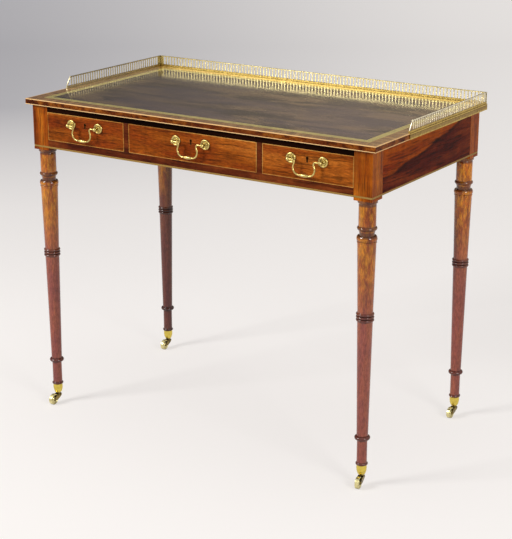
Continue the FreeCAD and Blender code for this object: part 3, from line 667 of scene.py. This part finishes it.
def gilt_tooling(t, here):
    """Mask of the tooled gold border: pairs of lines, a running scroll with dots, and a film over all."""
    x, y, _ = t.axes(here)
    inset, side = nearest_side(t, here, leather_middle, leather_half)
    along = t.plus(t.times(side, y), t.times(t.minus(1.0, side), x))
    angle = t.times(along, full_turn / gilt_repeat)
    off_middle = t.minus(inset, gilt_band / 2)
    wave = t.times(t.math("SINE", angle), gilt_band * scroll_swing_share)
    scroll = t.math("ABSOLUTE", t.minus(off_middle, wave))
    mask = gilt_mark(t, scroll, scroll_half_share)
    counter = t.math("SINE", t.plus(angle, full_turn / 2))
    dot_across = t.minus(off_middle, t.times(counter, gilt_band * dot_swing_share))
    dot_along = t.times(t.math("COSINE", angle), gilt_repeat / full_turn)
    squares = t.plus(t.math("POWER", dot_across, 2.0), t.math("POWER", dot_along, 2.0))
    mask = t.larger(mask, gilt_mark(t, t.math("SQRT", squares), dot_half_share))
    for share, half_share in gilt_line_shares:
        mask = t.larger(mask, line_mask(t, inset, gilt_band * share, gilt_band * half_share))
    film = t.times(t.span(inset, gilt_band, gilt_band * gilt_film_share), gilt_film)
    return t.larger(mask, film)


def leather():
    """Dark polished hide with soft clouds, a fine grain, a painted reflection that lightens it towards the
    right, and the tooled border.
    """
    t = material_tree("leather")
    here = t.place()
    x, _, _ = t.axes(here)
    mask = gilt_tooling(t, here)
    wear_and_edge_highlight = t.span(t.noise(here, scale=gilt_wear_cycles, detail=4.0, roughness=0.7), 0.3, 0.55)
    gilt = t.times(mask, t.span(wear_and_edge_highlight, 0.0, 1.0, 0.6, 1.0))
    cloudy = t.vector_math("MULTIPLY", here, hide_cloud_cycles)
    cloud = t.noise(cloudy, detail=6.0, roughness=0.68, distortion=0.4)
    hue = t.noise(t.vector_math("MULTIPLY", here, hide_hue_cycles), detail=3.0)
    hide = t.mix(t.span(cloud, 0.4, 0.6), srgb(44, 36, 34), srgb(130, 106, 80))
    hide = t.mix(t.span(hue, 0.42, 0.62, 0.0, 0.7), hide, srgb(80, 68, 78))
    # Darker on the left and lighter on the right: a painted reflection
    hide = t.scaled(hide, t.span(x, leather_low.x, leather_high.x, 0.5, 1.1))
    grain = t.cells(here, hide_grain_cycles)
    hide = t.scaled(hide, t.span(grain, 0.1, 0.6, 0.75, 1.2))
    relief = t.bump(grain, hide_grain_height, 0.5)
    relief = t.bump(t.times(mask, -1.0), tooling_depth, 0.7, relief)
    swell = t.noise(here, scale=hide_swell_cycles, detail=2.0)
    return t.surface(
        base_color=t.mix(gilt, hide, srgb(238, 218, 122)),
        metallic=t.times(gilt, 0.3),
        roughness=t.plus(t.span(cloud, 0.3, 0.7, 0.4, 0.5), t.times(gilt, -0.1)),
        normal=relief,
        specular_ior_level=0.05,
        coat_weight=1.0,
        coat_roughness=0.12,
        coat_ior=1.6,
        coat_normal=t.bump(swell, hide_swell_height, 0.12),
    )


# Finishes. Woods and brasses that are no more than their settings are made from these tables.

woods = {
    "rosewood_drawer": {
        "grain": "X", "tones": (srgb(112, 46, 8), srgb(154, 76, 16), srgb(182, 102, 34)),
        "specular": 0.06, "veins": 0.5, "patch": srgb(134, 52, 12), "rings": 5.0, "fleck": 0.34,
    },
    "rosewood_rail": {
        "grain": "X", "tones": (srgb(54, 16, 4), srgb(90, 34, 9), srgb(124, 58, 22)),
        "specular": 0.06, "veins": 0.5, "patch": srgb(78, 26, 8), "band": (5.0, 40.0),
    },
    # Near-black rail under the top: partly a dark rail, partly a painted shadow of the top's overhang
    "ebonised_rail": {
        "grain": "X", "tones": (srgb(12, 4, 2), srgb(22, 8, 3), srgb(36, 14, 6)),
        "specular": 0.01,
    },
    "carcase_wood": {
        "grain": "Y", "tones": (srgb(120, 84, 52), srgb(158, 118, 76), srgb(184, 146, 100)),
        "veins": 0.3, "gloss": 0.5,
    },
    "drawer_lining": {
        "grain": "Y", "tones": (srgb(110, 66, 38), srgb(150, 98, 60), srgb(176, 124, 80)),
        "veins": 0.35, "gloss": 0.45,
    },
}

brasses = {
    "brass": {"tone": srgb(206, 184, 112), "tarnish": srgb(112, 86, 34), "wear": 0.6},
    "brass_gallery": {
        "tone": srgb(232, 216, 156), "tarnish": srgb(120, 94, 44), "curb": srgb(198, 172, 94),
        "rough": 0.2, "wear": 0.3, "dull_top": 0.7,
    },
    # Right gallery: a paler copy, a painted reflection of the pale floor
    "brass_side": {
        "tone": srgb(246, 236, 204), "tarnish": srgb(96, 72, 36), "curb": srgb(196, 164, 74),
        "rough": 0.14, "wear": 0.4, "dull_top": 0.7,
    },
    # Left gallery: a darker copy, painted shade
    "brass_shaded": {
        "tone": srgb(206, 192, 150), "tarnish": srgb(92, 68, 36), "wear": 0.3, "dull_top": 0.8,
    },
    "brass_strip": {
        "tone": srgb(206, 174, 84), "tarnish": srgb(112, 76, 28), "dark_middle": "gallery_edge_strip",
        "rough": 0.18,
    },
    "brass_cup": {"tone": srgb(224, 200, 92), "rough": 0.18, "wear": 0.3},
    "brass_fork": {
        "tone": srgb(150, 130, 74), "tarnish": srgb(50, 38, 12), "wear": 0.9, "shade_reach": caster_shade_reach,
    },
    "brass_wheel": {
        "tone": srgb(232, 220, 160), "tarnish": srgb(70, 60, 24), "wear": 0.4, "shade_reach": caster_shade_reach,
    },
    "brass_lock": {"tone": srgb(96, 66, 34), "tarnish": srgb(50, 30, 14), "wear": 0.8},
}

finishes = {
    "rosewood_top": crossbanded_top(),
    "rosewood_apron": figured_apron(),
    "rosewood_leg": leg_wood(),
    "boxwood_line": line_wood(),
    "steel_screw": steel(),
    "leather": leather(),
}
for name, settings in woods.items():
    finishes[name] = wood(name, **settings)
for name, settings in brasses.items():
    finishes[name] = brass(name, **settings)

# The brass pieces that are paler or darker than the rest. The two side galleries are copies with painted
# light and shade for their sides.
brass_of = {
    "gallery": "brass_gallery",
    "gallery_left": "brass_shaded",
    "gallery_right": "brass_side",
    "gallery_edge_strip": "brass_strip",
    "caster_cups": "brass_cup",
    "caster_fork": "brass_fork",
    "caster_wheel": "brass_wheel",
    "lock": "brass_lock",
}


def finish_frame():
    """The finish of every CAD node, by the slot name that it came with, or by its own name for brass."""
    for name, node in nodes.items():
        own = brass_of.get(longest_start(name, brass_of))
        for slot in node.material_slots:
            slot.material = finishes[own or slot.material.name.split(".")[0]]


# Studio

def seen_ray(t):
    """1 for what the camera, a reflection or glass looks at, 0 for light that falls on things."""
    path = t.add("ShaderNodeLightPath")
    seen = t.larger(path.outputs["Is Camera Ray"], path.outputs["Is Glossy Ray"])
    return t.larger(seen, path.outputs["Is Transmission Ray"])


def stage_paint():
    """Pale floor that takes shadows, with a glow that turns grey high on the left of the backdrop."""
    t = material_tree("stage_paint")
    x, y, z = t.axes(t.place())
    low_part = t.span(y, backdrop_start, backdrop_bend, 0.0, backdrop_bend_share, smooth=False)
    high_part = t.span(y, backdrop_bend, backdrop_full, 0.0, 1.0 - backdrop_bend_share, smooth=False)
    high = t.plus(low_part, high_part)
    depth = t.larger(t.plus(y, viewpoint_depth), viewpoint_depth / 2)
    left = t.span(t.math("DIVIDE", x, depth), pale_bearing, dark_bearing, pale_share, 1.0)
    near = t.span(y, near_floor_end, near_floor_start)
    overhead = t.span(z, overhead_start, overhead_full)
    glow = t.mix(near, srgb(206, 202, 200), srgb(203, 199, 197))
    glow = t.mix(high, glow, srgb(222, 218, 215))
    glow = t.mix(t.times(high, left), glow, srgb(142, 141, 147))
    glow = t.mix(overhead, glow, t.mix(left, srgb(176, 158, 132), srgb(80, 78, 80)))
    paint = t.mix(overhead, srgb(165, 163, 160), srgb(68, 66, 68))
    lit = t.add("ShaderNodeBsdfDiffuse", {"Color": paint}).outputs[0]
    shine = t.add("ShaderNodeEmission", {"Color": glow, "Strength": seen_ray(t)}).outputs[0]
    t.output(t.add("ShaderNodeAddShader", {0: lit, 1: shine}).outputs[0])
    return t.owner


def sweep_mesh():
    """Floor that curves up into a backdrop, as one strip of faces."""
    profile = [(stage_front, 0.0), (stage_back, 0.0)]
    for step in range(1, stage_curve_steps + 1):
        angle = math.pi / 2 * step / stage_curve_steps
        depth = stage_back + stage_curve * math.sin(angle)
        profile.append((depth, stage_curve * (1 - math.cos(angle))))
    profile.append((stage_back + stage_curve, stage_height))
    bm = bmesh.new()
    rows = []
    for depth, height in profile:
        rows.append([bm.verts.new((side * stage_half_width, depth, height)) for side in (-1, 1)])
    for lower, upper in zip(rows, rows[1:]):
        bm.faces.new((lower[0], lower[1], upper[1], upper[0]))
    mesh = bpy.data.meshes.new("stage_sweep")
    bm.to_mesh(mesh)
    bm.free()
    mesh.shade_smooth()
    return mesh


def stage_sweep():
    """Floor and backdrop behind the table, square to the camera's bearing."""
    sweep = bpy.data.objects.new("stage_sweep", sweep_mesh())
    sweep.rotation_euler = (0, 0, camera_yaw)
    sweep.data.materials.append(stage_paint())
    bpy.context.scene.collection.objects.link(sweep)


def lamp(name, place, width, height, power):
    """Soft lamp that faces the table and isn't seen itself."""
    data = bpy.data.lights.new(name, "AREA")
    data.shape = "RECTANGLE"
    data.size = width
    data.size_y = height
    data.energy = power
    lamp_object = bpy.data.objects.new(name, data)
    lamp_object.location = place
    lamp_object.rotation_euler = (lamp_aim - place).to_track_quat("-Z", "Y").to_euler()
    lamp_object.visible_camera = False
    bpy.context.scene.collection.objects.link(lamp_object)


def surroundings():
    """Even dim light all round, with a paler background for what looks past the sweep."""
    world = bpy.data.worlds.new("studio")
    t = Tree(world)
    strength = t.span(seen_ray(t), 0.0, 1.0, world_light, world_seen, smooth=False)
    background = t.add("ShaderNodeBackground", {"Color": world_colour, "Strength": strength})
    t.output(background.outputs[0], kind="World")
    bpy.context.scene.world = world


def studio():
    """The sweep, the lamps and the light all round."""
    stage_sweep()
    for name, settings in lamps.items():
        lamp(name, **settings)
    surroundings()


def camera():
    """The photograph's view of the table."""
    data = bpy.data.cameras.new("camera")
    data.sensor_width = sensor_side
    data.lens = camera_focal_pixels * sensor_side / photo_height_pixels
    data.clip_end = camera_reach
    view = bpy.data.objects.new("camera", data)
    view.location = camera_place
    view.rotation_euler = (math.pi / 2 - camera_pitch, 0, camera_yaw)
    bpy.context.scene.collection.objects.link(view)
    bpy.context.scene.camera = view


finish_frame()
soften_frame()
studio()
camera()
bpy.context.scene.view_settings.view_transform = "Standard"
